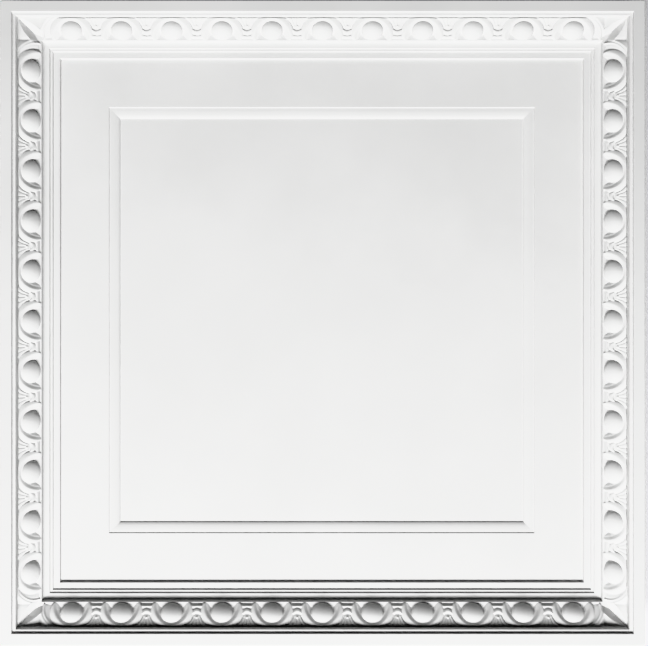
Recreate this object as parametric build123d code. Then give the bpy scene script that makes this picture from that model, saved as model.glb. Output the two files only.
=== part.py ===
from build123d import *
from math import asin, cos, pi, radians, sin, sqrt
import os

# A square coffered ceiling tile, moulded in one piece of rigid polyurethane foam.
# It lies on its back with its face up. The origin is the middle of the flat back and +Z comes
# out of the decorated face. "Across" is a distance from the tile's outer edge towards its
# middle, "along" runs beside that edge, and a depth goes down from the flange's face.

# Whole tile: one 24 inch opening of a ceiling grid, less the clearance it is laid in with
TILE_SIDE = 606.0
CORNER_RADIUS = 1.8
RISER_SLOPE = 0.5

# Flange that rests on the grid, and the small lip inside it
FLANGE_WIDTH = 10.4
FLANGE_THICKNESS = 10.0
LIP_DROP = 2.5
LIP_WIDTH = 2.9

# Quirk below the lip, the sloping bed of the ornament and the ledge at its inner side
QUIRK_DROP = 9.0
QUIRK_WIDTH = 1.2
BED_FALL = 4.0
BED_WIDTH = 14.0
LEDGE_WIDTH = 6.3

# Cove and the two fillets that carry the eye down to the field
COVE_RISER = 3.0
COVE_WIDTH = 6.0
COVE_DROP = 2.5
FIRST_FILLET_DROP = 1.0
FIRST_FILLET_WIDTH = 2.2
SECOND_FILLET_DROP = 1.2
SECOND_FILLET_WIDTH = 6.1

# Flat field, then the fillet and ovolo that frame the sunk middle panel
FIELD_DROP = 2.5
FIELD_WIDTH = 46.2
PANEL_FILLET_DROP = 0.8
PANEL_FILLET_WIDTH = 1.3
PANEL_OVOLO_WIDTH = 8.8
PANEL_OVOLO_DROP = 2.5

# Foam behind the face
PLATE_THICKNESS = 9.0
WALL = 11.0

# Egg-and-dart run: eggs stand in cups inside husks, and a dart fills the gap between two husks
EGG_SPACING = 47.7
FIRST_EGG = 64.5
EGG_HALF_LENGTH = 10.0
EGG_HALF_WIDTH = 8.7
EGG_HEIGHT = 9.0
EGG_SIDES = 12
EGG_RINGS = (0, 38, 67)
OVOLO_RADIUS = 75.0
OVOLO_OVERHANG = 18.0
OVOLO_END_RISE = 1.1
OVOLO_END_GAP = 0.6
OVOLO_FACETS = 3
CUP_HALF_LENGTH = 12.4
CUP_DEEP = 9.6
CUP_WAIST = 10.2
CUP_MOUTH = 16.4
HUSK_HALF_LENGTH = 20.4
HUSK_HALF_WIDTH = 15.4
COLLAR_ACROSS = 11.7
FAN_SINK = 1.1
NECK_SINK = 2.1

# Levels of the face, as depths below the flange
lip_depth = LIP_DROP
quirk_depth = lip_depth + QUIRK_DROP
ledge_depth = quirk_depth + BED_FALL
cove_depth = ledge_depth + COVE_RISER
cove_base_depth = cove_depth + COVE_DROP
first_fillet_depth = cove_base_depth + FIRST_FILLET_DROP
second_fillet_depth = first_fillet_depth + SECOND_FILLET_DROP
field_depth = second_fillet_depth + FIELD_DROP
panel_fillet_depth = field_depth + PANEL_FILLET_DROP
panel_depth = panel_fillet_depth + PANEL_OVOLO_DROP
tile_depth = panel_depth + PLATE_THICKNESS

# Lines of the face, as distances across
half_side = TILE_SIDE / 2
lip_start = FLANGE_WIDTH + RISER_SLOPE
lip_end = lip_start + LIP_WIDTH
bed_start = lip_end + QUIRK_WIDTH
ledge_start = bed_start + BED_WIDTH
ledge_end = ledge_start + LEDGE_WIDTH
cove_start = ledge_end + RISER_SLOPE
cove_end = cove_start + COVE_WIDTH
first_fillet_start = cove_end + RISER_SLOPE
first_fillet_end = first_fillet_start + FIRST_FILLET_WIDTH
second_fillet_start = first_fillet_end + RISER_SLOPE
second_fillet_end = second_fillet_start + SECOND_FILLET_WIDTH
field_start = second_fillet_end + RISER_SLOPE
field_end = field_start + FIELD_WIDTH
panel_fillet_start = field_end + RISER_SLOPE
ovolo_start = panel_fillet_start + PANEL_FILLET_WIDTH
panel_start = ovolo_start + PANEL_OVOLO_WIDTH

# Ovolo that the ornament is carved from: high at the quirk, it falls to just above the ledge
ovolo_across = bed_start - OVOLO_OVERHANG
ovolo_end = ledge_end - OVOLO_END_GAP
ovolo_depth = ledge_depth - OVOLO_END_RISE + sqrt(OVOLO_RADIUS**2 - (ovolo_end - ovolo_across) ** 2)

# Where the eggs stand
egg_across = bed_start + 10.75
egg_depth = ledge_depth
collar_across = bed_start + COLLAR_ACROSS
foot_across = bed_start - 0.3
husk_across = egg_across + 1.2
ornament_base = tile_depth - ledge_depth - 1
egg_run = TILE_SIDE - 2 * FIRST_EGG
egg_count = max(2, round(egg_run / EGG_SPACING) + 1)
egg_pitch = egg_run / (egg_count - 1)


def in_section(across, depth):
    """Point of the section plane for a distance across and a depth."""
    return (across - half_side, tile_depth - depth)


def in_plan(along, across):
    """Point of the plan for a distance along from the run's middle and a distance across."""
    return (along, across - half_side)


def quarter_curve(across, depth, width, drop, hollow):
    """Rounded step down, hollow like a cove or full like an ovolo."""
    part_way = sin(radians(45))
    reach = (1 - part_way) if hollow else part_way
    fall = part_way if hollow else (1 - part_way)
    return ThreePointArc(
        in_section(across, depth),
        in_section(across + width * reach, depth + drop * fall),
        in_section(across + width, depth + drop),
    )


def tile_section():
    """Section from the outer edge to the tile's middle line, with the face above and the back below."""
    face_outer = Polyline(
        in_section(0, FLANGE_THICKNESS),
        in_section(0, 0),
        in_section(FLANGE_WIDTH, 0),
        in_section(lip_start, lip_depth),
        in_section(lip_end, lip_depth),
        in_section(bed_start, quirk_depth),
        in_section(ledge_start, ledge_depth),
        in_section(ledge_end, ledge_depth),
        in_section(cove_start, cove_depth),
    )
    cove = quarter_curve(cove_start, cove_depth, COVE_WIDTH, COVE_DROP, hollow=True)
    face_middle = Polyline(
        in_section(cove_end, cove_base_depth),
        in_section(first_fillet_start, first_fillet_depth),
        in_section(first_fillet_end, first_fillet_depth),
        in_section(second_fillet_start, second_fillet_depth),
        in_section(second_fillet_end, second_fillet_depth),
        in_section(field_start, field_depth),
        in_section(field_end, field_depth),
        in_section(panel_fillet_start, panel_fillet_depth),
        in_section(ovolo_start, panel_fillet_depth),
    )
    ovolo = quarter_curve(ovolo_start, panel_fillet_depth, PANEL_OVOLO_WIDTH, PANEL_OVOLO_DROP, hollow=False)
    back = Polyline(
        in_section(panel_start, panel_depth),
        in_section(half_side, panel_depth),
        in_section(half_side, tile_depth),
        in_section(second_fillet_start + 4, tile_depth),
        in_section(ledge_start + 4, ledge_depth + 1.2 * WALL),
        in_section(FLANGE_WIDTH + 1.4, quirk_depth + WALL),
        in_section(FLANGE_WIDTH - 1.1, FLANGE_THICKNESS),
        in_section(0, FLANGE_THICKNESS),
    )
    return make_face(face_outer + cove + face_middle + ovolo + back)


def quadrant_clip():
    """Prism over one quarter of the tile, between its two mitres and inside the rounded corners."""
    mitre = make_face(Polyline((-half_side, -half_side), (half_side, -half_side), (0, 0), close=True))
    outline = mitre & RectangleRounded(TILE_SIDE, TILE_SIDE, CORNER_RADIUS)
    return extrude(outline, tile_depth)


def bare_side():
    """One side of the tile with its mouldings and a quarter of the field and panel."""
    return extrude(Plane.YZ * tile_section(), half_side, both=True)


def ovolo_top(across, sink):
    """Depth of the ovolo's true rounding at a distance across, sunk as given."""
    radius = OVOLO_RADIUS - sink
    return ovolo_depth - sqrt(radius**2 - (across - ovolo_across) ** 2)


def ovolo(sink):
    """Bar along the side that the ornament is carved from, rounded in facets and sunk as given."""
    places = [foot_across + (ovolo_end - foot_across) * i / OVOLO_FACETS for i in range(OVOLO_FACETS + 1)]
    rounding = [in_section(across, ovolo_top(across, sink)) for across in places]
    foot = [(rounding[-1][0], 0), (rounding[0][0], 0)]
    section = make_face(Polyline(*rounding, *foot, close=True))
    return extrude(Plane.YZ * section, half_side, both=True)


def ramp():
    """Bar along the side with the flat slope that the fans of the darts lie in."""
    section = make_face(Polyline(
        in_section(foot_across, ovolo_top(bed_start, 0) + FAN_SINK),
        in_section(collar_across, ovolo_top(collar_across, 0) + FAN_SINK),
        in_section(collar_across, tile_depth),
        in_section(foot_across, tile_depth),
        close=True,
    ))
    return extrude(Plane.YZ * section, half_side, both=True)


def raised(outline, bar):
    """Prism over an outline in plan, from inside the foam up to the face of a bar."""
    prism = extrude(outline, tile_depth - ornament_base)
    return Location((0, 0, ornament_base)) * prism & bar


def strip(start, end):
    """Band in plan along the whole side, between two distances across."""
    return Location(in_plan(0, (start + end) / 2)) * Rectangle(TILE_SIDE, end - start)


def egg_places():
    """Distances along of the egg centres of one side."""
    return [egg_pitch * i - egg_run / 2 for i in range(egg_count)]


def dart_places():
    """Distances along of the darts, half way between the eggs."""
    return [egg_pitch * (i + 0.5) - egg_run / 2 for i in range(egg_count - 1)]


def egg_ring(angle):
    """Ring of points round an egg at an angle above its widest level."""
    turns = [2 * pi * (i + 0.5) / EGG_SIDES for i in range(EGG_SIDES)]
    wide = cos(radians(angle))
    height = tile_depth - egg_depth + EGG_HEIGHT * sin(radians(angle))
    return [
        (EGG_HALF_LENGTH * wide * cos(t), egg_across - half_side + EGG_HALF_WIDTH * wide * sin(t), height)
        for t in turns
    ]


def egg(along):
    """Egg lying along the run: half an ellipsoid in flat facets, with its foot inside the foam."""
    foot = [(x, y, ornament_base) for x, y, z in egg_ring(0)]
    rings = [foot] + [egg_ring(angle) for angle in EGG_RINGS]
    faces = [Face(Wire.make_polygon(rings[0])), Face(Wire.make_polygon(rings[-1]))]
    for lower, upper in zip(rings, rings[1:]):
        for i in range(EGG_SIDES):
            j = (i + 1) % EGG_SIDES
            faces.append(Face(Wire.make_polygon([lower[i], lower[j], upper[j], upper[i]])))
    return Location((along, 0, 0)) * Solid(Shell(faces))


def cup_outline(along):
    """Hollow round an egg: a round bowl, a waist that meets the egg and a flared mouth."""
    rim = egg_across
    bowl = ThreePointArc(
        in_plan(along - CUP_HALF_LENGTH, rim),
        in_plan(along, rim - CUP_DEEP),
        in_plan(along + CUP_HALF_LENGTH, rim),
    )
    mouth = Polyline(
        in_plan(along + CUP_HALF_LENGTH, rim),
        in_plan(along + CUP_WAIST, rim + 3.4),
        in_plan(along + CUP_MOUTH, ledge_end - 0.8),
        in_plan(along + CUP_MOUTH, ledge_end + 2),
        in_plan(along - CUP_MOUTH, ledge_end + 2),
        in_plan(along - CUP_MOUTH, ledge_end - 0.8),
        in_plan(along - CUP_WAIST, rim + 3.4),
        in_plan(along - CUP_HALF_LENGTH, rim),
    )
    return make_face(bowl + mouth)


def husk_edge(along, side):
    """Outer edge of a husk on one side of its egg, as an arc from its widest place to the quirk."""
    low = asin((husk_across - foot_across) / HUSK_HALF_WIDTH)
    points = [
        in_plan(
            along + side * HUSK_HALF_LENGTH * cos(t),
            husk_across - HUSK_HALF_WIDTH * sin(t),
        )
        for t in (0, low / 2, low)
    ]
    return points


def husk_outline(along):
    """Husk round a cup, before the cup is cut from it."""
    left = husk_edge(along, -1)
    right = husk_edge(along, 1)
    top = ledge_end + 1
    edges = ThreePointArc(*left) + Line(left[2], right[2]) + ThreePointArc(*reversed(right))
    edges += Polyline(
        right[0],
        in_plan(along + HUSK_HALF_LENGTH, top),
        in_plan(along - HUSK_HALF_LENGTH, top),
        left[0],
    )
    return make_face(edges)


def in_corner(end, from_corner, across):
    """Point of the plan for a distance from the corner at one end of the side."""
    return in_plan(end * (half_side - from_corner), across)


def web_outline(end):
    """Sunk web of a corner, between the leaf on the mitre and the leaf beside the last husk."""
    tip = in_corner(end, bed_start + 19.4, bed_start + 9.8)
    fold = in_corner(end, bed_start + 22.6, bed_start + 13.1)
    heel = in_corner(end, bed_start + 3.9, foot_across)
    toe = in_corner(end, bed_start + 29.4, foot_across)
    leaf_edge = ThreePointArc(heel, in_corner(end, bed_start + 10.3, bed_start + 4.2), tip)
    crease = ThreePointArc(fold, in_corner(end, bed_start + 24.8, bed_start + 6.6), toe)
    return make_face(leaf_edge + Line(tip, fold) + crease + Line(toe, heel))


def leaf_outline(end):
    """Everything raised between the mitre and the last husk, less the web."""
    whole = make_face(Polyline(
        in_corner(end, foot_across, foot_across),
        in_corner(end, FIRST_EGG - 12, foot_across),
        in_corner(end, FIRST_EGG - CUP_MOUTH, husk_across + 8.3),
        in_corner(end, bed_start + 29.5, ledge_end + 1),
        in_corner(end, bed_start + 28.0, ledge_end - 2),
        in_corner(end, bed_start + 26.5, ledge_end + 1),
        in_corner(end, ledge_end + 1, ledge_end + 1),
        close=True,
    ))
    return whole - web_outline(end)


def ornament():
    """Carved run of one side: the necks lie lowest, the fans above them and the husks on top."""
    cups = [cup_outline(along) for along in egg_places()]
    necks = raised(strip(collar_across - 1, ledge_end) - cups, ovolo(NECK_SINK))
    fans = raised(strip(foot_across, collar_across) - cups, ramp())
    outline = Sketch() + [husk_outline(along) for along in egg_places()]
    outline += [leaf_outline(end) for end in (-1, 1)]
    husks = raised(outline - cups, ovolo(0))
    return necks + fans + husks


def quadrant():
    """One side with its ornament, cut at its mitres."""
    side = bare_side() + ornament()
    side += [egg(along) for along in egg_places()]
    return side & quadrant_clip()


def ceiling_tile():
    """The whole tile: four alike sides that meet at the mitres."""
    side = quadrant()
    return Part() + [Rotation(0, 0, 90 * turn) * side for turn in range(4)]


tile = ceiling_tile()
tile.label = "ceiling_tile"
os.makedirs("parts", exist_ok=True)
export_step(tile, "parts/ceiling_tile.step")
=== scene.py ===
# %% [markdown]
# # A moulded ceiling tile with an egg-and-dart border
#
# The real tile is one casting of rigid polyurethane foam with a white primed skin. It is a
# square coffer: a plain rim rests on the ceiling grid, a lip and a carved border drop away
# inside it, and a cove, two fillets, a flat field and a small panel moulding lead down to the
# middle. It lies here on its flat back with the decorated face up.

import bpy
import numpy as np
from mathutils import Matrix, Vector


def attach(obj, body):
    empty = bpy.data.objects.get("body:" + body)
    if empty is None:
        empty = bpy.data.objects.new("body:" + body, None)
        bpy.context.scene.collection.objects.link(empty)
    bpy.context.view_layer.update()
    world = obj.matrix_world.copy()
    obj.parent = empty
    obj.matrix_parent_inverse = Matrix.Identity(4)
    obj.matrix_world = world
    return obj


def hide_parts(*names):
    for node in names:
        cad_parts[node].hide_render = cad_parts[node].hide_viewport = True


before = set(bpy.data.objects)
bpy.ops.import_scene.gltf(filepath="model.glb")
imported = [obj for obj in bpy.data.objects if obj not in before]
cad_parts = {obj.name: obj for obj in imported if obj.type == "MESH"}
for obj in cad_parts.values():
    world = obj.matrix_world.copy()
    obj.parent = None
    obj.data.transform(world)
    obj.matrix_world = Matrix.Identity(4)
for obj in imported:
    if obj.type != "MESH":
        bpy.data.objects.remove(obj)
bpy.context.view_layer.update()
MM = 0.001
print("frame nodes:", sorted(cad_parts))

# %% [markdown]
# ## Sizes
#
# All of the tile's own sizes are in millimetres, as on a workshop drawing, and only the last
# step turns them into Blender's metres. "Across" runs from the outer edge to the middle,
# "along" runs beside the edge and a depth goes down from the rim's face. The ornament has a
# drawing of its own further on, so only the sizes that both share are here.

# %% Sizes that the whole tile shares
TILE_SIDE = 606.0
TILE_DEPTH = 38.0
HALF_SIDE = TILE_SIDE / 2
CORNER_RADIUS = 1.8
BED_START, BED_END, LEDGE_END = 15.0, 29.0, 35.3
QUIRK_DEPTH, LEDGE_DEPTH = 11.5, 15.5
EGG_PITCH = 47.7
EGGS_BESIDE_MIDDLE = 5
LAST_EGG = EGGS_BESIDE_MIDDLE * EGG_PITCH


def bed_depth(across):
    """Depth of the bed under the ornament: it slopes from the quirk to the ledge, then is level."""
    return np.interp(across, [BED_START, BED_END], [QUIRK_DEPTH, LEDGE_DEPTH])


print("eggs on a side:", 2 * EGGS_BESIDE_MIDDLE + 1, "last egg", round(LAST_EGG, 1), "mm from the middle")

# %% [markdown]
# ## One helper for every surface
#
# Each surface below is a grid of points, so one function can turn any grid into a mesh. The
# rows and columns of the grid become quads, and a grid may close on itself in one direction,
# as a ring does. Extra faces such as end caps are given as lists of point numbers.

# %% Turn a grid of points into a mesh object
def grid_quads(rows, columns, wrap):
    """Corner numbers of the quads of a grid: (r, c), (r, c+1), (r+1, c+1), (r+1, c)."""
    r = np.arange(rows - 1)[:, None]
    c = np.arange(columns if wrap else columns - 1)[None, :]
    here = r * columns + c
    beside = r * columns + (c + 1) % columns
    return np.stack([here, beside, beside + columns, here + columns], axis=-1).reshape(-1, 4)


def mesh_object(name, points_mm, quads, polygons=()):
    """Mesh from points in millimetres, whole arrays of quads, and a few larger polygons."""
    points = np.asarray(points_mm, float).reshape(-1, 3) * MM
    corners = np.concatenate([np.asarray(quads).ravel()] + [np.asarray(p) for p in polygons]).astype(np.int32)
    sizes = np.concatenate([np.full(len(quads), 4), [len(p) for p in polygons]]).astype(np.int32)
    starts = np.concatenate([[0], np.cumsum(sizes)[:-1]]).astype(np.int32)
    mesh = bpy.data.meshes.new(name)
    mesh.vertices.add(len(points))
    mesh.vertices.foreach_set("co", points.astype(np.float32).ravel())
    mesh.loops.add(len(corners))
    mesh.loops.foreach_set("vertex_index", corners)
    mesh.polygons.add(len(sizes))
    mesh.polygons.foreach_set("loop_start", starts)
    mesh.polygons.foreach_set("use_smooth", np.ones(len(sizes), bool))
    mesh.update(calc_edges=True)
    mesh.validate()
    piece = bpy.data.objects.new(name, mesh)
    bpy.context.scene.collection.objects.link(piece)
    print(name, "points", len(points), "faces", len(sizes))
    return piece


# %% [markdown]
# A closed surface has an inside and an outside, and its faces should all point out. Whether
# they do shows in its signed volume, which is negative when the surface is inside out.

# %% Turn the faces of a closed surface outwards
LITRES = 1e-6


def faces_out(points, quads, polygons):
    """Reverse all faces if the signed volume of the quads and polygons is negative.

    The volume is the sum of a . (b x c) / 6 over the triangles (a, b, c) of every face.
    """
    p = points.reshape(-1, 3)
    fans = [np.stack([np.full(len(g) - 2, g[0]), g[1:-1], g[2:]], -1) for g in polygons]
    tris = np.concatenate([quads[:, [0, 1, 2]], quads[:, [0, 2, 3]]] + fans)
    volume = np.einsum("ij,ij->i", p[tris[:, 0]], np.cross(p[tris[:, 1]], p[tris[:, 2]])).sum() / 6
    print("volume in litres", round(abs(volume) * LITRES, 3))
    if volume < 0:
        return quads[:, ::-1], [g[::-1] for g in polygons]
    return quads, polygons


# %% [markdown]
# ## The moulded body
#
# Everything that runs unbroken round the tile is one profile carried round a square: rim, lip,
# bed, ledge, cove, fillets, field, panel and the back. A foam casting has no knife edge, so
# every corner of the profile is rounded by half a millimetre or so. One more point on each side
# of a rounding keeps the flats beside it flat when the surface is shaded smooth.

# %% Round the corners of a profile
CURVE_POINTS = 5
LONGEST_CUT = 0.4
LONGEST_GUARD, GUARD_SHARE = 0.25, 0.08
SAME_POINT = 1e-4


def rounded_profile(corners):
    """Polyline with each corner (across, depth, radius) replaced by a curve.

    The curve is the quadratic (1-s)^2 A + 2 s (1-s) P + s^2 B from A before the corner P to B
    after it, where A and B lie at a distance radius * tan(turn / 2) along the two sides.
    """
    data = np.array(corners, float)
    place, radius = data[:, :2], data[1:-1, 2:]
    before = place[:-2] - place[1:-1]
    after = place[2:] - place[1:-1]
    len_before = np.linalg.norm(before, axis=1, keepdims=True)
    len_after = np.linalg.norm(after, axis=1, keepdims=True)
    shorter = np.minimum(len_before, len_after)
    before, after = before / len_before, after / len_after
    turn = np.arccos(np.clip(-(before * after).sum(1, keepdims=True), -1, 1))
    cut = np.minimum(radius * np.tan(turn / 2), LONGEST_CUT * shorter)
    guard = np.minimum(LONGEST_GUARD, GUARD_SHARE * shorter)
    start, end = place[1:-1] + before * cut, place[1:-1] + after * cut
    s = np.linspace(0, 1, CURVE_POINTS)[None, :, None]
    curve = (1 - s) ** 2 * start[:, None] + 2 * s * (1 - s) * place[1:-1][:, None] + s**2 * end[:, None]
    first = (start + before * guard)[:, None]
    last = (end + after * guard)[:, None]
    chain = np.concatenate([first, curve, last], axis=1).reshape(-1, 2)
    chain = np.concatenate([place[:1], chain, place[-1:]])
    keep = np.concatenate([[True], np.linalg.norm(np.diff(chain, axis=0), axis=1) > SAME_POINT])
    return chain[keep]


print("points on a rounded corner:", CURVE_POINTS + 2)

# %% The profile of the body
RIM_END, LIP_START, LIP_END, LIP_DROP = 10.4, 10.9, 13.8, 2.5
COVE_START, COVE_WIDTH, COVE_RISER, COVE_DROP = 35.8, 6.0, 3.0, 1.8
FIRST_START, FIRST_END, FIRST_DROP = 42.3, 44.5, 1.4
SECOND_START, SECOND_END, SECOND_DROP = 45.0, 51.1, 1.5
FIELD_START, FIELD_END, FIELD_DROP = 51.6, 97.8, 2.5
EDGING_START, EDGING_END, EDGING_DROP = 98.3, 99.6, 0.8
PANEL_ROUND_WIDTH, PANEL_ROUND_DROP = 8.8, 2.5
FLANGE_THICKNESS, WALL_UNDER_PANEL = 10.0, 9.0
WALL_UNDER_QUIRK, WALL_UNDER_LEDGE = 11.0, 13.2
FLANGE_BACK_END, WALL_START, WALL_MIDDLE, WALL_END = 9.3, 11.8, 33.0, 49.0
PANEL_STOPS, BACK_STOPS = (140.0, 200.0, 260.0, 298.0), (100.0, 200.0, 298.0)
QUARTER_CORNERS, QUARTER_ROUNDING = 6, 0.6

cove_depth = LEDGE_DEPTH + COVE_RISER
cove_base = cove_depth + COVE_DROP
first_depth = cove_base + FIRST_DROP
second_depth = first_depth + SECOND_DROP
field_depth = second_depth + FIELD_DROP
edging_depth = field_depth + EDGING_DROP
panel_depth = edging_depth + PANEL_ROUND_DROP
back_depth = panel_depth + WALL_UNDER_PANEL


def quarter(across, depth, width, drop, hollow):
    """Corners on a quarter ellipse: across + width (1 - cos t), depth + drop sin t, if hollow.

    A full one swaps the two: across + width sin t, depth + drop (1 - cos t).
    """
    t = np.linspace(0, np.pi / 2, QUARTER_CORNERS + 2)[1:-1]
    reach, fall = (1 - np.cos(t), np.sin(t)) if hollow else (np.sin(t), 1 - np.cos(t))
    return [(across + width * a, depth + drop * b, QUARTER_ROUNDING) for a, b in zip(reach, fall)]


# Each corner is (across, depth, radius of its rounding), from the outer edge to the middle.
BODY_FACE = [
    (0.0, 0.0, 0.6),
    (RIM_END, 0.0, 0.3),
    (LIP_START, LIP_DROP, 0.2),
    (LIP_END, LIP_DROP, 0.3),
    (BED_START, QUIRK_DEPTH, 0.4),
    (BED_END, LEDGE_DEPTH, 2.0),
    (LEDGE_END, LEDGE_DEPTH, 0.35),
    (COVE_START, cove_depth, 0.3),
    *quarter(COVE_START, cove_depth, COVE_WIDTH, COVE_DROP, hollow=True),
    (COVE_START + COVE_WIDTH, cove_base, 0.3),
    (FIRST_START, first_depth, 0.2),
    (FIRST_END, first_depth, 0.3),
    (SECOND_START, second_depth, 0.2),
    (SECOND_END, second_depth, 0.35),
    (FIELD_START, field_depth, 0.3),
    (FIELD_END, field_depth, 0.3),
    (EDGING_START, edging_depth, 0.2),
    (EDGING_END, edging_depth, 0.2),
    *quarter(EDGING_END, edging_depth, PANEL_ROUND_WIDTH, PANEL_ROUND_DROP, hollow=False),
    (EDGING_END + PANEL_ROUND_WIDTH, panel_depth, 0.3),
    *[(across, panel_depth, 0.0) for across in PANEL_STOPS],
]
BODY_BACK = [
    (0.0, FLANGE_THICKNESS, 0.6),
    (FLANGE_BACK_END, FLANGE_THICKNESS, 1.0),
    (WALL_START, QUIRK_DEPTH + WALL_UNDER_QUIRK, 3.0),
    (WALL_MIDDLE, LEDGE_DEPTH + WALL_UNDER_LEDGE, 3.0),
    (WALL_END, back_depth, 1.5),
    *[(across, back_depth, 0.0) for across in BACK_STOPS],
]
profile = rounded_profile(BODY_FACE[::-1] + BODY_BACK)
print("profile points", len(profile), "panel at depth", round(panel_depth, 2), "mm")

# %% Carry the profile round a square
NEAR_CORNER = [0.0, 0.3, 0.6, 0.9, 1.2, 1.8, 3.0, 6.0]
STEPS_START, STEPS_TO_MIDDLE = 10.0, 36
LEAST_BEND = 1e-9


def side_shares():
    """Places along one side as shares of its half length, close together near the corners."""
    steps = np.linspace(STEPS_START, HALF_SIDE, STEPS_TO_MIDDLE)
    half = np.concatenate([NEAR_CORNER, steps]) - HALF_SIDE
    return np.concatenate([half, -half[1:-1][::-1]]) / HALF_SIDE


def square_rings(across, depth):
    """Points of the square rings at given distances across, shape (rings, points, 3).

    On one side x = share * r and y = -r with r = half side - across. Where a ring is nearer
    the edge than the corner radius, the points past the arc's start are turned onto the arc.
    """
    share = side_shares()[None, :]
    r = HALF_SIDE - across[:, None]
    bend = np.maximum(CORNER_RADIUS - across[:, None], 0.0)
    x = share * r
    past = np.abs(x) - (r - bend)
    angle = np.clip(past / np.maximum(bend, LEAST_BEND), 0, 1) * np.pi / 4
    on_arc = (past > 0) & (bend > 0)
    x = np.where(on_arc, np.sign(x) * (r - bend + bend * np.sin(angle)), x)
    y = np.where(on_arc, -(r - bend + bend * np.cos(angle)), -r)
    z = np.broadcast_to(TILE_DEPTH - depth[:, None], x.shape)
    quarter_turns = [(x, y), (-y, x), (-x, -y), (y, -x)]
    return np.concatenate([np.stack([a, b, z], -1) for a, b in quarter_turns], axis=1)


rings = square_rings(profile[:, 0], profile[:, 1])
ring_count, ring_size = rings.shape[:2]
body_quads = grid_quads(ring_count, ring_size, wrap=True)
caps = [np.arange(ring_size)[::-1], np.arange(ring_size) + (ring_count - 1) * ring_size]
body_quads, caps = faces_out(rings, body_quads, caps)
body = mesh_object("moulded_body", rings, body_quads, caps)

# %% [markdown]
# ## The egg-and-dart border
#
# One side of the border is a height map over a fine grid. Each carved form is a height of its
# own that falls away steeply outside its outline, and the highest form wins at every point.
# That gives the crisp valleys of a pressed moulding, and a light smoothing afterwards gives
# its soft edges. The whole run is symmetric, so it is worked out from the distance to the
# nearest egg, and only the corners need another drawing.
#
# Where a size changes from place to place, it is a pair of lists: the places, and the size at
# each of them. Between two places the size goes in a straight line.

# %% Helpers for the height map
BAND_RADIUS, BAND_ACROSS, BAND_DEPTH = 75.0, -3.0, 79.24
WALL_SLOPE = 3.2
LEAST_SLOPE = 0.05
ORNAMENT_START, ORNAMENT_END = 15.3, 34.7


def ground(across):
    """Depth of the rounded band that the ornament is cut from: centre - sqrt(R^2 - offset^2)."""
    return BAND_DEPTH - np.sqrt(BAND_RADIUS**2 - (across - BAND_ACROSS) ** 2)


def past_ends(across):
    """Distance past the nearer end of the ornament, negative between its two ends."""
    return np.maximum(across - ORNAMENT_END, ORNAMENT_START - across)


def oval_distance(x, y, half_x, half_y):
    """Distance outside an ellipse, negative inside: (f - 1) / |grad f| with f = (x/a)^2 + (y/b)^2."""
    f = (x / half_x) ** 2 + (y / half_y) ** 2
    slope = np.sqrt((2 * x / half_x**2) ** 2 + (2 * y / half_y**2) ** 2)
    return (f - 1) / np.maximum(slope, LEAST_SLOPE)


def bounded(depth, *outside):
    """Height of a form with a steep wall down wherever one of the outside distances is positive."""
    fall = np.zeros_like(depth)
    for distance in outside:
        fall = np.maximum(fall, distance)
    return -depth - WALL_SLOPE * np.maximum(fall, 0)


def bump_line(distance, width):
    """Bell curve exp(-(distance / width)^2), used for grooves and ribs."""
    return np.exp(-((distance / width) ** 2))


print("band depth at its ends", np.round(ground(np.array([ORNAMENT_START, ORNAMENT_END])), 2), "mm")

# %% [markdown]
# The egg is an oval cap, tilted with the band. The husk is an open shell round it: its inner
# wall climbs from the egg in two steps to a ridge, and a broad crescent leans outwards from
# there. Near the ledge the shell opens, so a small triangle of the ledge shows beside each egg.

# %% Eggs
EGG_ACROSS = 26.2
EGG_HALF_ALONG, EGG_HALF_ACROSS = 9.9, 8.1
EGG_BASE, EGG_TILT, EGG_HEIGHT, EGG_FULLNESS = 11.2, 0.36, 3.9, 0.85
EGG_WALL = WALL_SLOPE * (EGG_HALF_ALONG + EGG_HALF_ACROSS) / 2


def egg_height(e, across):
    """Tilted oval cap: depth = base + tilt (y - y0) - h (1 - (e/a)^2 - ((y-y0)/b)^2)^fullness.

    The bracket is a share and not a distance, so the wall outside it is steeper by the mean
    of the two half sizes.
    """
    offset = across - EGG_ACROSS
    inside = 1 - (e / EGG_HALF_ALONG) ** 2 - (offset / EGG_HALF_ACROSS) ** 2
    depth = EGG_BASE + EGG_TILT * offset - EGG_HEIGHT * np.maximum(inside, 0) ** EGG_FULLNESS
    return -depth - EGG_WALL * np.maximum(-inside, 0)


print("depth at the middle of an egg", round(-float(egg_height(0.0, EGG_ACROSS)), 2), "mm")

# %% Husks
HUSK_ACROSS, HUSK_HALF_ALONG, HUSK_HALF_ACROSS = 27.0, 20.0, 15.6
RIDGE_ACROSS, RIDGE_HALF_ALONG, RIDGE_HALF_ACROSS = 34.5, 17.0, 18.2
SOCKET_HALF_ALONG, SOCKET_HALF_ACROSS = 9.5, 7.7
HUSK_SINK = (
    [-7.0, -6.0, -3.2, -2.4, 0.1, 0.8, 2.4, 4.0, 5.5],
    [4.2, 3.6, 1.9, 2.0, 0.2, 0.0, 0.4, 1.1, 1.9],
)
SHALLOW_START, SHALLOW_WIDTH, SHALLOW_BY = 28.0, 6.0, 0.35
MOUTH_START, MOUTH_LEAN = 28.9, 0.78
MOUTH_HALF = ([MOUTH_START, 29.9, 33.0, 34.7], [8.6, 9.6, 12.2, 14.8])


def husk_edge(e, across):
    """Distance outside the husk's outer oval, which both ends of the ornament cut off."""
    return oval_distance(e, across - HUSK_ACROSS, HUSK_HALF_ALONG, HUSK_HALF_ACROSS)


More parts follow.
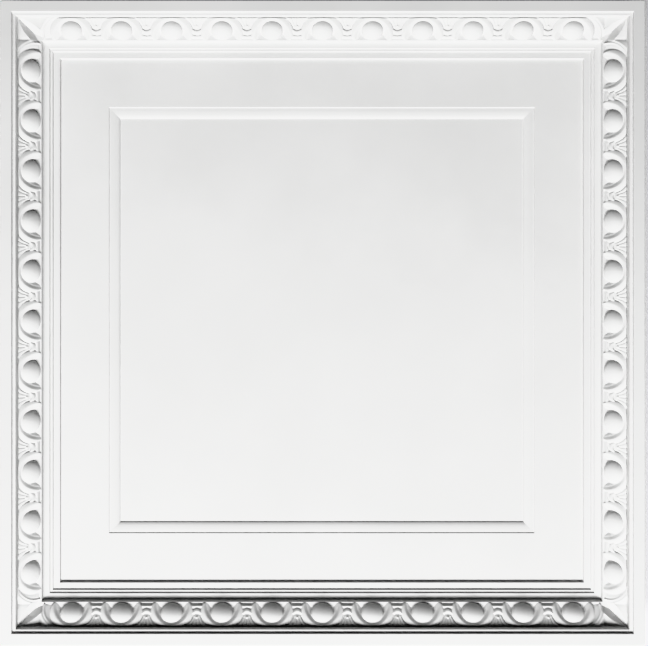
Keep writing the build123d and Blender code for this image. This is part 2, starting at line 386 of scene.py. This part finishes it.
def husk_height(e, across):
    """Shell round the egg: depth = band + sink, set by the distance from the ridge's oval.

    The sink grows shallower towards the ledge, and the mouth takes the shell away where the
    distance e along the run is less than half the mouth's width.
    """
    from_ridge = oval_distance(e, across - RIDGE_ACROSS, RIDGE_HALF_ALONG, RIDGE_HALF_ACROSS)
    from_egg = oval_distance(e, across - EGG_ACROSS, SOCKET_HALF_ALONG, SOCKET_HALF_ACROSS)
    shallower = 1 - SHALLOW_BY * np.clip((across - SHALLOW_START) / SHALLOW_WIDTH, 0, 1)
    depth = ground(across) + np.interp(from_ridge, *HUSK_SINK) * shallower
    mouth = (np.interp(across, *MOUTH_HALF) - np.abs(e)) * MOUTH_LEAN
    mouth = np.where(across > MOUTH_START, mouth, -1.0)
    return bounded(depth, -from_egg, husk_edge(e, across), mouth, past_ends(across))


print("husk reaches", HUSK_HALF_ALONG, "mm along from the middle of its egg")

# %% [markdown]
# The dart between two husks stands on a sunken floor and has four parts in a row: a fan with
# three flutes and a bead at its root, a collar, a waisted neck, and a small flare that meets
# the ledge. Each part is a height of its own again, drawn for a distance b from the dart's
# middle line. The collar is only a rise in the floor.

# %% The dart's floor, collar, fan and bead
DART_HALF = 10.5
FLOOR_SINK = ([15.0, 18.0, 22.0, 27.0, 31.0, 34.0], [1.0, 2.0, 3.2, 3.6, 3.2, 2.6])
COLLAR_ACROSS, COLLAR_WIDTH, COLLAR_HALF, COLLAR_RISE = 25.4, 1.3, 4.2, 1.7
FAN_HALF = ([15.0, 15.8, 17.5, 19.2, 22.2, 24.4], [9.4, 8.9, 7.0, 5.5, 3.7, 3.0])
FAN_SINK = ([15.0, 19.0, 22.0, 24.4], [0.4, 1.2, 1.6, 1.7])
FAN_END, FAN_END_BOW = 24.6, 0.05
MIDDLE_FLUTE_DEPTH, MIDDLE_FLUTE_WIDTH = 0.7, 0.45
SIDE_FLUTE_DEPTH, SIDE_FLUTE_WIDTH, SIDE_FLUTE_SHARE = 0.6, 0.5, 0.55
FLUTE_FADE = 1.2
BEAD_ACROSS, BEAD_SINK, BEAD_HEIGHT = 22.6, 1.6, 0.9
BEAD_RADIUS, BEAD_REACH = 1.15, 1.4
NO_FORM = -99.0


def dart_floor(b, across):
    """Floor at the band's depth + a sink, with the collar as a bell-shaped rise across it."""
    collar = COLLAR_RISE * bump_line(across - COLLAR_ACROSS, COLLAR_WIDTH) * np.clip(COLLAR_HALF - b, 0, 1)
    sink = np.interp(across, *FLOOR_SINK) - collar
    return bounded(ground(across) + sink, past_ends(across), b - DART_HALF)


def dart_fan(b, across):
    """Fan at the band's depth + a sink + flutes, one in the middle and one on each side."""
    half = np.interp(across, *FAN_HALF)
    spread = np.clip((BEAD_ACROSS - across) / FLUTE_FADE, 0, 1)
    flutes = MIDDLE_FLUTE_DEPTH * bump_line(b, MIDDLE_FLUTE_WIDTH) * spread
    flutes = flutes + SIDE_FLUTE_DEPTH * bump_line(b - half * SIDE_FLUTE_SHARE, SIDE_FLUTE_WIDTH) * spread
    depth = ground(across) + np.interp(across, *FAN_SINK) + flutes
    return bounded(depth, b - half, across - FAN_END + FAN_END_BOW * b**2, ORNAMENT_START - across)


def dart_bead(b, across):
    """Round bead: height = -(band + sink) + h (1 - (gap / radius)^2), gap from its middle."""
    gap = np.sqrt(b**2 + (across - BEAD_ACROSS) ** 2)
    bead = -(ground(across) + BEAD_SINK) + BEAD_HEIGHT * (1 - (gap / BEAD_RADIUS) ** 2)
    return np.where(gap < BEAD_REACH, bead, NO_FORM)


print("bead at depth", round(-float(dart_bead(0.0, BEAD_ACROSS)), 2), "mm")

# %% The dart's neck and flare
NECK_HALF = ([25.8, 28.0, 31.0], [3.9, 3.4, 3.3])
NECK_SINK = ([26.2, 27.8, 29.6, 31.2], [1.2, 0.2, 0.4, 1.9])
NECK_START, NECK_START_BOW, NECK_END = 26.2, 0.04, 31.1
FLARE_HALF = ([29.6, 31.2, 32.8, 34.7], [3.2, 4.0, 4.9, 5.6])
FLARE_SINK = ([29.4, 31.9, 32.5, 34.7], [1.4, 0.0, 0.2, 2.2])
FLARE_START, DOME_BOW = 31.4, 0.12


def dart_neck(b, across):
    """Neck at the band's depth + a sink read at across + bow b^2, which domes it."""
    bow = DOME_BOW * b**2
    depth = ground(across) + np.interp(across + bow, *NECK_SINK)
    start = NECK_START - NECK_START_BOW * b**2 - across
    return bounded(depth, b - np.interp(across, *NECK_HALF), start, across - NECK_END + bow)


def dart_flare(b, across):
    """Flare at the band's depth + a sink; its start follows the neck's bowed end."""
    depth = ground(across) + np.interp(across, *FLARE_SINK)
    start = FLARE_START - DOME_BOW * b**2 - across
    return bounded(depth, b - np.interp(across, *FLARE_HALF), start, across - ORNAMENT_END)


def dart_height(b, across):
    """Highest of the dart's parts, for a distance b from its middle line."""
    b = np.abs(b)
    parts = (dart_floor, dart_fan, dart_bead, dart_neck, dart_flare)
    return np.maximum.reduce([part(b, across) for part in parts])


print("dart at depth", round(-float(dart_height(0.0, ORNAMENT_END)), 2), "mm beside the ledge")

# %% [markdown]
# At a corner two leaves fold down to the mitre. Towards the rim each ends in a pointed arch
# over two hollow webs with a fine vein between them, and a second leaf with a raised rim stands
# between the arch and the last husk.

# %% Corner leaves
LAST_EGG_FROM_CORNER = HALF_SIDE - LAST_EGG
WEB_APEX = 35.3
WEB_ARCH = (
    [15.0, 21.6, 27.9, 32.2, WEB_APEX, 36.8, 38.4, 40.4, 42.8],
    [15.2, 17.3, 20.3, 23.0, 25.6, 22.8, 20.3, 17.4, 15.2],
)
SCALLOP = (
    [34.5, 38.0, 41.5, 43.6, 47.3, 51.0, 53.0],
    [34.7, 34.3, 32.4, 34.3, 34.8, 34.0, 33.0],
)
CURL_SINK = ([0.0, 0.1, 0.28, 0.45, 0.7, 0.9, 1.0], [1.3, -0.1, 1.8, 1.6, 2.1, 2.6, 2.9])
LEAF_SINK, FOLD_DEPTH, FOLD_WIDTH, FOLD_POWER = 0.3, 4.2, 6.5, 1.1
FOLD_START, FOLD_GROWTH, LEAST_FOLD = 14.0, 9.0, 0.2
EDGE_ACROSS, EDGE_HALF_ALONG, EDGE_HALF_ACROSS = 31.0, 27.4, 19.4
GROOVE_PLACE, GROOVE_WIDTH, GROOVE_DEPTH = 0.6, 0.7, 0.9
WEB_FOLLOWS_ARCH, WEB_FOLLOWS_BAND, WEB_SINK = 0.6, 0.4, 0.7
VEIN_WIDTH, VEIN_DEPTH = 1.0, 0.25
LEAST_GAP = 1e-6


def corner_height(c, across):
    """Mitre leaf, webs and second leaf, for a distance c from the side at the tile's corner.

    The mitre leaf's edge is an oval about the last egg, and the scallop is where both leaves
    end beside the ledge. The leaf's depth is the band's + a fold that deepens towards the mitre
    + a groove along its edge. A web's depth mixes the band's depth at the arch with that at the
    point. The second leaf's sink is read at its share of the way from the edge to the husk.
    """
    band = ground(across)
    from_egg = c - LAST_EGG_FROM_CORNER
    off_mitre = np.maximum(c - across, 0) / np.sqrt(2)
    near_mitre = np.clip(1 - off_mitre / FOLD_WIDTH, 0, 1) ** FOLD_POWER
    fold = LEAF_SINK + FOLD_DEPTH * near_mitre * np.clip((across - FOLD_START) / FOLD_GROWTH, LEAST_FOLD, 1)
    arch = np.interp(c, *WEB_ARCH)
    past_scallop = across - np.interp(c, *SCALLOP)
    edge = oval_distance(from_egg, across - EDGE_ACROSS, EDGE_HALF_ALONG, EDGE_HALF_ACROSS)
    groove = GROOVE_DEPTH * bump_line(edge - GROOVE_PLACE, GROOVE_WIDTH)
    leaf = bounded(band + fold + groove, arch - across, -edge, past_scallop)
    vein = VEIN_DEPTH * bump_line(c - WEB_APEX, VEIN_WIDTH)
    web_depth = WEB_FOLLOWS_ARCH * ground(arch) + WEB_FOLLOWS_BAND * band + WEB_SINK + vein
    web = bounded(web_depth + groove, across - arch, -edge)
    past_husk = husk_edge(from_egg, across)
    inside_edge = np.clip(-edge, 0, None)
    share = inside_edge / np.maximum(inside_edge + np.clip(past_husk, 0, None), LEAST_GAP)
    second = bounded(band + np.interp(share, *CURL_SINK), edge, -past_husk, past_scallop)
    return np.maximum.reduce([leaf, second, web])


print("last egg stands", round(LAST_EGG_FROM_CORNER, 1), "mm from the corner")

# %% [markdown]
# The grid of a run has its columns at fixed shares of the way to the mitre, so its two ends
# lie exactly on the mitres and the four runs meet there point for point. Under the ornament
# the run sinks into the body, where it closes with walls and a flat bottom.

# %% Build the height map of one run
RUN_COLUMNS, RUN_ROWS = 1361, 53
RUN_START, RUN_END = 14.3, 35.05
BELOW_BED = 0.6


def soften(height):
    """Smooth a height map with the kernel 1/4, 1/2, 1/4 in both directions."""
    edge = np.pad(height, ((1, 1), (0, 0)), mode="edge")
    height = 0.25 * edge[:-2] + 0.5 * edge[1:-1] + 0.25 * edge[2:]
    edge = np.pad(height, ((0, 0), (1, 1)), mode="edge")
    return 0.25 * edge[:, :-2] + 0.5 * edge[:, 1:-1] + 0.25 * edge[:, 2:]


def run_surface():
    """Points of one carved run on the side at -Y, shape (rows, columns, 3).

    The distance e from the nearest egg is |along| - pitch * the nearest whole number. Past the
    last egg the darts give way to the corner's leaves. The lowest height is just under the bed.
    """
    across = np.linspace(RUN_START, RUN_END, RUN_ROWS)[:, None]
    share = np.linspace(-1, 1, RUN_COLUMNS)[None, :]
    along = share * (HALF_SIDE - across)
    reach = np.abs(along)
    across = np.broadcast_to(across, along.shape)
    nearest = np.clip(np.round(reach / EGG_PITCH), 0, EGGS_BESIDE_MIDDLE) * EGG_PITCH
    e = reach - nearest
    height = np.maximum(egg_height(e, across), husk_height(e, across))
    in_run = (nearest < LAST_EGG) | (e < 0)
    darts = dart_height(EGG_PITCH / 2 - np.abs(e), across)
    leaves = corner_height(HALF_SIDE - reach, across)
    height = np.maximum(height, np.where(in_run, darts, leaves))
    height = soften(np.maximum(height, -bed_depth(across) - BELOW_BED))
    return np.stack([along, across - HALF_SIDE, TILE_DEPTH + height], -1)


run_top = run_surface()
lowest, highest = run_top[..., 2].min(), run_top[..., 2].max()
print("ornament stands between", round(lowest, 2), "and", round(highest, 2), "mm over the floor")

# %% Close the run and set it on the four sides
BELOW_LEDGE = 2.1
RUN_NAMES = ("run_front", "run_right", "run_back", "run_left")
COS_AND_SIN = [(1, 0), (0, 1), (-1, 0), (0, -1)]


def carved_run(name, top, turn):
    """Closed run: the carved top, two long walls, a flat bottom and the two mitre ends.

    It is drawn on the side at -Y and given quarter turns: x' = cos x - sin y, y' = sin x + cos y.
    """
    rows, n = top.shape[:2]
    low = top[[0, -1]].copy()
    low[:, :, 2] = TILE_DEPTH - (LEDGE_DEPTH + BELOW_LEDGE)
    points = np.concatenate([top.reshape(-1, 3), low.reshape(-1, 3)])
    first_row = np.arange(n)
    last_row = first_row + (rows - 1) * n
    low_first, low_last = last_row + n, last_row + 2 * n
    strips = [(low_first, first_row), (last_row, low_last), (low_last, low_first)]
    quads = [grid_quads(rows, n, wrap=False)]
    quads += [np.stack([a[:-1], a[1:], b[1:], b[:-1]], -1) for a, b in strips]
    near_end = np.concatenate([low_first[:1], np.arange(rows) * n, low_last[:1]])
    far_end = (near_end + n - 1)[::-1]
    quads, ends = faces_out(points, np.concatenate(quads), [near_end, far_end])
    cos_t, sin_t = COS_AND_SIN[turn]
    x, y, z = points.T
    points = np.stack([cos_t * x - sin_t * y, sin_t * x + cos_t * y, z], -1)
    return mesh_object(name, points, quads, ends)


runs = [carved_run(name, run_top, turn) for turn, name in enumerate(RUN_NAMES)]

# %% [markdown]
# ## White primed foam
#
# The skin of a moulded tile is matt white paint over closed foam. It is never quite smooth: it
# has a fine orange peel of about a millimetre and faint waves a few centimetres long. Both are
# noises on the piece's own coordinates that only bend the light, because they are far too
# shallow to need a mesh. Two more noises move the white and the gloss a little.

# %% The foam's material
TONE_NOISE, GLOSS_NOISE = (9.0, 3.0, 0.5), (160.0, 2.0, 0.5)
PEEL_NOISE, WAVE_NOISE = (900.0, 3.0, 0.55), (28.0, 2.0, 0.5)
SHADED_WHITE, CLEAR_WHITE = (0.745, 0.745, 0.742, 1), (0.785, 0.785, 0.782, 1)
TONE_START, TONE_END = 0.3, 0.7
LEAST_ROUGH, MOST_ROUGH = 0.5, 0.68
SPECULAR = 0.3
PEEL_STRENGTH, PEEL_DISTANCE = 0.35, 0.00006
WAVE_STRENGTH, WAVE_DISTANCE = 0.5, 0.0003


def foam_material():
    """White primer: nearly even colour, matt gloss, and a bump summed from two noises."""
    material = bpy.data.materials.new("white_primed_foam")
    material.use_nodes = True
    nodes, links = material.node_tree.nodes, material.node_tree.links
    shader = nodes["Principled BSDF"]
    place = nodes.new("ShaderNodeTexCoord")

    def noise(settings):
        """Noise on Object coordinates from (scale, detail, roughness)."""
        node = nodes.new("ShaderNodeTexNoise")
        for socket, value in zip(("Scale", "Detail", "Roughness"), settings):
            node.inputs[socket].default_value = value
        links.new(place.outputs["Object"], node.inputs["Vector"])
        return node.outputs["Fac"]

    def bump(settings, strength, distance):
        """Bump whose height is a noise; the distance is in metres."""
        node = nodes.new("ShaderNodeBump")
        node.inputs["Strength"].default_value = strength
        node.inputs["Distance"].default_value = distance
        links.new(noise(settings), node.inputs["Height"])
        return node

    tone = nodes.new("ShaderNodeValToRGB")
    ramp = tone.color_ramp.elements
    ramp[0].position, ramp[1].position = TONE_START, TONE_END
    ramp[0].color, ramp[1].color = SHADED_WHITE, CLEAR_WHITE
    links.new(noise(TONE_NOISE), tone.inputs["Fac"])
    links.new(tone.outputs["Color"], shader.inputs["Base Color"])

    gloss = nodes.new("ShaderNodeMapRange")
    gloss.inputs["To Min"].default_value = LEAST_ROUGH
    gloss.inputs["To Max"].default_value = MOST_ROUGH
    links.new(noise(GLOSS_NOISE), gloss.inputs["Value"])
    links.new(gloss.outputs["Result"], shader.inputs["Roughness"])
    shader.inputs["Specular IOR Level"].default_value = SPECULAR

    peel = bump(PEEL_NOISE, PEEL_STRENGTH, PEEL_DISTANCE)
    waves = bump(WAVE_NOISE, WAVE_STRENGTH, WAVE_DISTANCE)
    links.new(waves.outputs["Normal"], peel.inputs["Normal"])
    links.new(peel.outputs["Normal"], shader.inputs["Normal"])
    return material


foam = foam_material()
for piece in [body] + runs:
    piece.data.materials.append(foam)
    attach(piece, "root")
    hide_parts("ceiling_tile")
print(foam.name, "nodes", len(foam.node_tree.nodes), "on", 1 + len(runs), "pieces")

# %% [markdown]
# ## Floor, light and camera
#
# The tile lies on a plain white floor. One long soft light hangs nearly two metres up beyond
# the near edge, a little to the left, so every form is bright on the side towards it and
# shaded on the other. A dim sky fills the rest, and a neutral view with high contrast keeps
# the white clean.

# %% Floor and light
FLOOR_REACH, FLOOR_WHITE, FLOOR_ROUGHNESS = 2500.0, (0.94, 0.94, 0.94, 1), 0.9
LIGHT_PLACE, LIGHT_TARGET = (-0.3, -1.78, 1.88), (0.0, 0.0, 0.0)
LIGHT_WIDTH, LIGHT_HEIGHT, LIGHT_WATTS = 2.8, 0.9, 90.0
SKY_COLOUR, SKY_STRENGTH = (1, 1, 1, 1), 0.04


def plain_floor():
    """Square sheet of floor at height zero, five metres wide."""
    signs = np.array([(-1, -1, 0), (1, -1, 0), (1, 1, 0), (-1, 1, 0)])
    floor = mesh_object("floor", signs * FLOOR_REACH, np.array([[0, 1, 2, 3]]))
    material = bpy.data.materials.new("pale_floor")
    material.use_nodes = True
    shader = material.node_tree.nodes["Principled BSDF"]
    shader.inputs["Base Color"].default_value = FLOOR_WHITE
    shader.inputs["Roughness"].default_value = FLOOR_ROUGHNESS
    floor.data.materials.append(material)
    return floor


def soft_light(name, place, target, width, height, power):
    """Rectangular area light at a place, turned to a target, all in metres and watts."""
    lamp = bpy.data.lights.new(name, "AREA")
    lamp.shape = "RECTANGLE"
    lamp.size, lamp.size_y, lamp.energy = width, height, power
    holder = bpy.data.objects.new(name, lamp)
    bpy.context.scene.collection.objects.link(holder)
    holder.location = place
    holder.rotation_euler = (Vector(target) - Vector(place)).to_track_quat("-Z", "Y").to_euler()
    print(name, "at", place, "with", power, "watts")
    return holder


plain_floor()
soft_light("key_light", LIGHT_PLACE, LIGHT_TARGET, LIGHT_WIDTH, LIGHT_HEIGHT, LIGHT_WATTS)
world = bpy.data.worlds.new("dim_sky")
world.use_nodes = True
sky = world.node_tree.nodes["Background"].inputs
sky["Color"].default_value = SKY_COLOUR
sky["Strength"].default_value = SKY_STRENGTH
bpy.context.scene.world = world
bpy.context.scene.view_settings.view_transform = "Khronos PBR Neutral"
bpy.context.scene.view_settings.look = "High Contrast"

# %% [markdown]
# The camera looks straight down from one metre above the rim, a little beyond the middle of
# the tile, and a small lens shift brings the tile back into the frame. The steps of the near
# side then show their faces more than those of the far side, as they do in the photograph.

# %% Camera
# The frame's width and middle are measured in metres on the plane of the rim.
CAMERA_HEIGHT = 1.0
CAMERA_X, CAMERA_Y = -0.0291, 0.0910
FRAME_WIDTH = 0.6088
FRAME_X, FRAME_Y = 0.0013, -0.0003
SENSOR_WIDTH = 36.0

lens = bpy.data.cameras.new("camera")
lens.sensor_width = SENSOR_WIDTH
lens.lens = SENSOR_WIDTH * CAMERA_HEIGHT / FRAME_WIDTH
lens.shift_x = (FRAME_X - CAMERA_X) / FRAME_WIDTH
lens.shift_y = (FRAME_Y - CAMERA_Y) / FRAME_WIDTH
camera = bpy.data.objects.new("camera", lens)
camera.location = (CAMERA_X, CAMERA_Y, TILE_DEPTH * MM + CAMERA_HEIGHT)
bpy.context.scene.collection.objects.link(camera)
bpy.context.scene.camera = camera
print("lens", round(lens.lens, 1), "shift", round(lens.shift_x, 3), round(lens.shift_y, 3))
